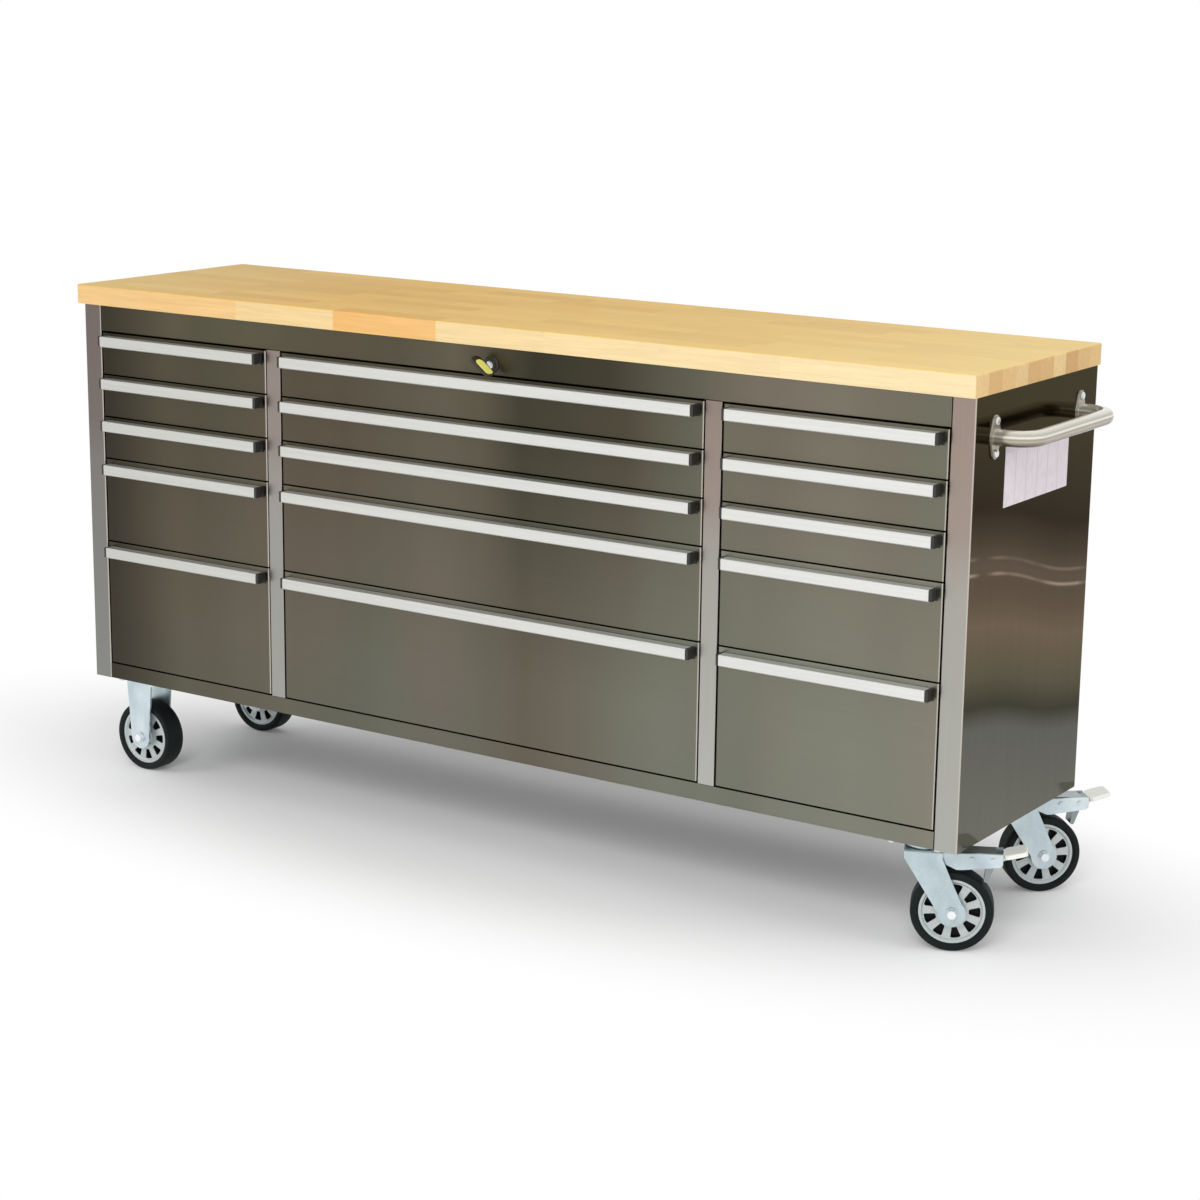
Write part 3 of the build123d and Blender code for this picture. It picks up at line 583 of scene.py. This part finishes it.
# ---- wood ----
def wood_colour(r, tone):
    """A block's colour by its tone, on the top, on the long edges and on the ends, with painted
    light to the right, a painted sheen at the left end and painted light on the long edges.
    """
    # painted light from the right, a painted sheen at the left end, painted light on the long
    # edges
    right_painted_light, right_share = (1.0, 0.78, 0.340), 0.62
    left_painted_sheen, left_share, left_reach = (0.72, 0.64, 0.32), 0.3, 0.3
    edge_painted_light, edge_share = (0.82, 0.765, 0.58), 0.40
    top = r.ramp(
        tone,
        (0.0, (0.67, 0.36, 0.042)),
        (0.3, (0.72, 0.41, 0.055)),
        (1.0, (0.78, 0.475, 0.088)),
    )
    top = r.mix(r.times(r.math("POWER", r.across(), 2.0), right_share), top, right_painted_light)
    top = r.mix(r.span(r.across(), 0.0, left_reach, left_share, 0.0), top, left_painted_sheen)
    # long edges: a paler copy of the tones, painted as lit from the front
    long_edge_lit = r.ramp(
        tone,
        (0.0, (0.765, 0.398, 0.096)),
        (0.2, (0.765, 0.428, 0.116)),
        (0.36, (0.775, 0.500, 0.220)),
        (0.55, (0.765, 0.545, 0.248)),
        (1.0, (0.770, 0.558, 0.252)),
    )
    long_edge_lit = r.mix(r.times(r.across(), edge_share), long_edge_lit, edge_painted_light)
    end = r.ramp(
        tone,
        (0.0, (0.65, 0.39, 0.165)),
        (0.5, (0.78, 0.52, 0.235)),
        (1.0, (0.85, 0.63, 0.315)),
    )
    upright = r.mix(r.span(r.math("ABSOLUTE", r.nx), 0.5, 0.9), long_edge_lit, end)
    return r.mix(r.span(r.nz, 0.3, 0.8), upright, top)


def butcher_block():
    """Finger-jointed staves along X: every block has its own tone and grain."""
    shift_seed, tone_seed = STAVE_SEEDS
    seam_start, seam_end, seam_shade = 0.486, 0.498, 0.88
    r = Recipe("butcher_block")
    staves = r.math("DIVIDE", r.minus(r.y, top_low.y - STAVE_START), STAVE_WIDTH)
    stave = r.math("FLOOR", staves)
    shift = r.times(r.random(stave, shift_seed, 1.3), STAVE_LENGTH)
    block = r.math("FLOOR", r.math("DIVIDE", r.plus(r.x, shift), STAVE_LENGTH))
    colour = wood_colour(r, r.random(stave, block, tone_seed))
    block_seed = r.node("ShaderNodeCombineXYZ", stave, block, tone_seed).outputs[0]
    own_place = r.vector("ADD", r.place, block_seed)
    grain = r.noise((6.0, 130.0, 130.0), 5.0, own_place, roughness=0.6, bend=0.4)
    flecks = r.noise((26.0, 900.0, 900.0), 2.0, own_place)
    off_middle = r.math("ABSOLUTE", r.minus(r.math("FRACT", staves), 0.5))
    seam = r.span(off_middle, seam_start, seam_end, 1.0, seam_shade)
    value = r.times(r.swing(grain, 0.92, 1.05), r.span(flecks, 0.35, 0.65, 0.97, 1.02), seam)
    r.bump(grain, 0.05)
    return r.set(
        Base_Color=r.shaded(colour, value),
        Roughness=r.swing(grain, 0.34, 0.46),
        Specular_IOR_Level=0.06,
    )


# ---- plastic, rubber and card ----
def lock_material():
    """Black lock body with a faint grain."""
    r = Recipe("lock_black")
    grain = r.noise(700.0, 2.0)
    broad = r.noise(30.0, 2.0)
    r.bump(grain, 0.06)
    return r.set(
        Base_Color=r.mix(r.swing(broad), (0.0176, 0.0167, 0.0123), BLACK_PLASTIC),
        Roughness=r.swing(grain, 0.36, 0.44),
    )


def key_material():
    """Yellow pads on a black bow; plug, cam and blade are plated."""
    yellow, plated = (0.86, 0.83, 0.20), (0.86, 0.85, 0.84)
    r = Recipe("key")
    grain = r.noise(700.0, 2.0)
    bow_normal = (math.sin(KEY_TURN), 0.0, math.cos(KEY_TURN))
    offset = r.vector("SUBTRACT", r.place, joints["key_turn"]["pos_m"])
    off_plane = r.math("ABSOLUTE", r.vector("DOT_PRODUCT", offset, bow_normal))
    moulded = r.mix(r.over(off_plane, KEY_PAD_FACE), BLACK_PLASTIC, yellow)
    bow = r.under(r.y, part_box("lock_keys")[0].y + KEY_BOW_DEPTH)
    r.bump(grain, 0.05)
    return r.set(
        Base_Color=r.mix(bow, plated, moulded),
        Metallic=r.inverse(bow),
        Roughness=r.swing(grain, 0.28, 0.36),
    )


def tyre_material():
    """Black rubber with a faint grain."""
    r = Recipe("tyre")
    grain = r.noise(600.0, 3.0)
    broad = r.noise(14.0, 2.0)
    r.bump(grain, 0.10)
    return r.set(
        Base_Color=r.mix(r.swing(broad), (0.006, 0.009, 0.009), (0.011, 0.014, 0.014)),
        Roughness=r.swing(grain, 0.50, 0.66),
        Specular_IOR_Level=0.16,
    )


def rim_material(side, end):
    """Cast spokes and rim; the pockets between the spokes are painted black."""
    r = Recipe(f"rim_{side}_{end}")
    cloud = r.noise(400.0, 3.0)
    along, away = r.off_axis(joints[f"wheel_turn_{side}_{end}"])
    sunk = r.under(r.math("ABSOLUTE", along), RIM_FACE)
    pocket_low, pocket_high = RIM_POCKET
    pocket = r.times(sunk, r.over(away, pocket_low), r.under(away, pocket_high))
    cast = r.mix(r.swing(cloud), (0.48, 0.53, 0.525), (0.58, 0.63, 0.625))
    r.bump(cloud, 0.04)
    return r.set(
        Base_Color=r.mix(pocket, cast, (0.004, 0.005, 0.006)),
        Metallic=r.times(r.inverse(pocket), 0.45),
        Roughness=r.plus(0.34, r.times(pocket, 0.4)),
    )


def pedal_material(end):
    """Cream foot pad on a zinc-plated lever."""
    plated = (0.30, 0.34, 0.35)
    r = Recipe(f"pedal_{end}")
    grain = r.noise(500.0, 2.0)
    swivel_x, swivel_y, _ = joints[f"swivel_turn_{end}"]["pos_m"]
    on_floor = r.node("ShaderNodeCombineXYZ", r.x, r.y, 0.0).outputs[0]
    pad = r.over(r.vector("DISTANCE", on_floor, (swivel_x, swivel_y, 0.0)), PEDAL_PAD_REACH)
    cream = r.mix(r.swing(grain), (0.81, 0.82, 0.75), (0.88, 0.90, 0.84))
    r.bump(grain, 0.05)
    return r.set(
        Base_Color=r.mix(pad, plated, cream),
        Metallic=r.inverse(pad),
        Roughness=r.swing(grain, 0.34, 0.42),
    )


def card_material():
    """Blank card: faint ruled columns under a plain header, no writing."""
    column_count, half_column, header_foot = 6.0, 0.46, 0.88
    low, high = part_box("label_card")
    r = Recipe("label_card")
    soft = r.noise((1.0, 90.0, 60.0), 1.0)
    columns = r.math("FRACT", r.span(r.y, low.y, high.y, 0.0, column_count))
    inside = r.under(r.math("ABSOLUTE", r.minus(columns, 0.5)), half_column)
    body = r.mix(inside, (0.58, 0.52, 0.55), (0.76, 0.69, 0.73))
    paper = r.mix(r.span(soft, 0.4, 0.7), body, (0.69, 0.63, 0.67))
    header = r.over(r.span(r.z, low.z, high.z), header_foot)
    return r.set(Base_Color=r.mix(header, paper, (0.66, 0.60, 0.64)), Roughness=0.35)


# ---- which node wears what ----
def dress_cabinet():
    front = front_material()
    for bank in BANKS:
        for row in ROWS:
            dress(front, f"drawer_{bank}_{row}")
            dress(pull_material(bank, row), f"pull_{bank}_{row}")
    dress(fascia_material(), "top_fascia")
    dress(rail_material(), "bottom_rail")
    dress(back_material(), "back_panel")
    dress(divider_material(), "dividers")
    dress(side_material(), "side_panel_left", "side_panel_right")
    dress(butcher_block(), "worktop")
    dress(plain_metal("grey_sheet", (0.09, 0.09, 0.085), 0.45), "base_pan")
    dress(plain_metal("slide_zinc", (0.60, 0.62, 0.63), 0.30), "slide_rails")


def dress_fittings():
    dress(tube_material(), "push_handle")
    dress(lock_material(), "lock_body")
    dress(key_material(), "lock_keys")
    dress(card_material(), "label_card")
    dress(plain_metal("bolt_steel", (0.78, 0.80, 0.80), 0.24), "caster_bolts", "handle_bolts")
    forks = ("rigid_forks", "swivel_plates", "swivel_fork_front", "swivel_fork_rear")
    dress(zinc_material(), *forks)
    rubber = tyre_material()
    for end in ENDS:
        dress(pedal_material(end), f"brake_pedal_{end}")
        for side in SIDES:
            dress(rim_material(side, end), f"rim_{side}_{end}")
            dress(rubber, f"tyre_{side}_{end}")


# ---- floor, world and lamps ----
def floor_material():
    """Pale floor that takes the shadow under the chest and fades to plain white round it."""
    pale, oval_shape, fade_start, fade_end = (0.93, 0.93, 0.93), (0.62, 1.5, 1.0), 0.45, 1.05
    material = bpy.data.materials.new("floor")
    material.use_nodes = True
    n = Nodes(material.node_tree)
    n.tree.nodes.clear()
    diffuse = n.node("ShaderNodeBsdfDiffuse", pale)
    white = n.node("ShaderNodeEmission", WHITE)
    place = n.node("ShaderNodeTexCoord").outputs["Object"]
    oval = n.node("ShaderNodeMapping", Vector=place, Scale=oval_shape).outputs[0]
    fade = n.span(n.vector("LENGTH", oval), fade_start, fade_end, smooth=True)
    mixed = n.node("ShaderNodeMixShader", n.times(fade, n.camera_sees()))
    n.feed(mixed.inputs[1], diffuse.outputs[0])
    n.feed(mixed.inputs[2], white.outputs[0])
    n.node("ShaderNodeOutputMaterial", mixed.outputs[0])
    return material


def make_floor():
    """A plain square under the wheels, far wider than the view."""
    floor_reach = 20.0
    mesh = bpy.data.meshes.new("floor")
    grid = bmesh.new()
    bmesh.ops.create_grid(grid, x_segments=1, y_segments=1, size=floor_reach)
    grid.to_mesh(mesh)
    grid.free()
    mesh.materials.append(floor_material())
    floor = bpy.data.objects.new("floor", mesh)
    floor.location = (cabinet_middle, 0.0, cad_box[0][2])
    scene.collection.objects.link(floor)


def make_world():
    """Soft light from all round, seen and mirrored as plain white."""
    ambient, seen = 0.62, 1.0
    world = bpy.data.worlds.new("studio")
    scene.world = world
    world.use_nodes = True
    n = Nodes(world.node_tree)
    background = n.tree.nodes["Background"]
    n.feed(background.inputs["Color"], WHITE)
    n.feed(background.inputs["Strength"], n.span(n.camera_sees(), 0.0, 1.0, ambient, seen))


def add_lamp(name, place, size, power):
    """A soft lamp aimed at the middle of the chest, kept out of the metal's reflections."""
    aim_height = 0.5
    target = Vector((cabinet_middle, 0.0, aim_height))
    data = bpy.data.lights.new(name, "AREA")
    data.shape = "RECTANGLE"
    data.size, data.size_y = size
    data.energy = power
    lamp = bpy.data.objects.new(name, data)
    lamp.location = place
    lamp.rotation_euler = (target - Vector(place)).to_track_quat("-Z", "Y").to_euler()
    lamp.visible_glossy = False
    scene.collection.objects.link(lamp)


make_camera()
dress_cabinet()
dress_fittings()
make_floor()
make_world()
add_lamp("key", place=(1.9, -3.9, 3.0), size=(2.6, 2.0), power=112.0)
add_lamp("fill", place=(-2.6, -3.0, 2.2), size=(2.0, 2.0), power=26.0)
add_lamp("side", place=(4.0, 0.4, 2.0), size=(2.0, 2.0), power=16.0)
scene.view_settings.view_transform = "Standard"
